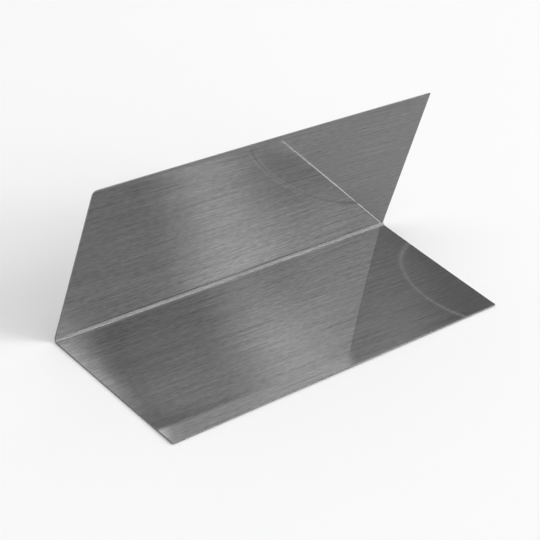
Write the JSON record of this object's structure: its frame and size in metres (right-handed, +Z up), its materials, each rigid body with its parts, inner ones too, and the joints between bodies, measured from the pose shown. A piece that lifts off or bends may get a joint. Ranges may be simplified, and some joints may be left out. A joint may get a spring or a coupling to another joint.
{
  "type": "step flashing",
  "caption": "L-shaped flashing folded from brushed sheet steel, which turns water out over a shingle where a sloping roof meets a side wall.",
  "frame": {"origin": "under the middle of the footprint, on the roof leaf's underside, where the piece rests", "axes": "+X along the bend, -Y from the bend towards the roof leaf's free edge, +Z up the wall leaf"},
  "size_m": [0.1778, 0.0634, 0.0649],
  "materials": {
    "brushed_sheet": "brushed along the bend, satin, with clear reflections along the grain"
  },
  "bodies": {
    "root": {"flashing": "brushed_sheet"}
  },
  "joints": []
}
